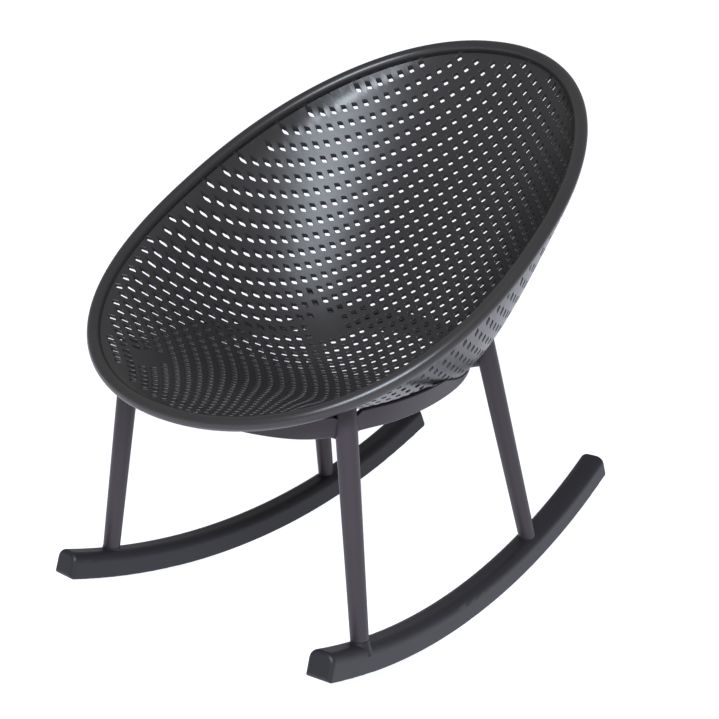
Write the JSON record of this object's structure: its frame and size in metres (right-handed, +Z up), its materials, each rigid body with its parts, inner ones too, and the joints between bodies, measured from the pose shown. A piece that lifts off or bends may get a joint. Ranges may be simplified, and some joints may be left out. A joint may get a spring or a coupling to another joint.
{
  "type": "rocking chair",
  "caption": "Moulded rocking chair: a perforated bucket shell with a round rim on a one-piece frame of splayed legs and hoop, bolted to two curved rockers.",
  "frame": {"origin": "on the ground, under the middle of the chair's overall length and on its middle plane", "axes": "+X is the sitter's left hand side when seated and the chair's right hand side seen from the front, -Y is the front, +Z is up"},
  "size_m": [0.7276, 0.8684, 0.8433],
  "materials": {
    "shell_plastic": "satin moulded plastic, very dark warm grey",
    "frame_plastic": "satin moulded plastic, dark grey with a warm tint",
    "rocker_plastic": "matte moulded plastic, dark cool grey",
    "steel": "plated steel",
    "brass": "plain brass"
  },
  "bodies": {
    "root": {"seat_shell": "shell_plastic", "leg_frame": "frame_plastic", "rocker_left": "rocker_plastic", "rocker_right": "rocker_plastic", "rocker_bolt_front_left": "steel", "rocker_washer_front_left": "steel", "leg_insert_front_left": "brass", "shell_screw_front_left": "steel", "shell_washer_front_left": "steel", "rocker_bolt_front_right": "steel", "rocker_washer_front_right": "steel", "leg_insert_front_right": "brass", "shell_screw_front_right": "steel", "shell_washer_front_right": "steel", "rocker_bolt_rear_left": "steel", "rocker_washer_rear_left": "steel", "leg_insert_rear_left": "brass", "shell_screw_rear_left": "steel", "shell_washer_rear_left": "steel", "rocker_bolt_rear_right": "steel", "rocker_washer_rear_right": "steel", "leg_insert_rear_right": "brass", "shell_screw_rear_right": "steel", "shell_washer_rear_right": "steel"}
  },
  "joints": []
}
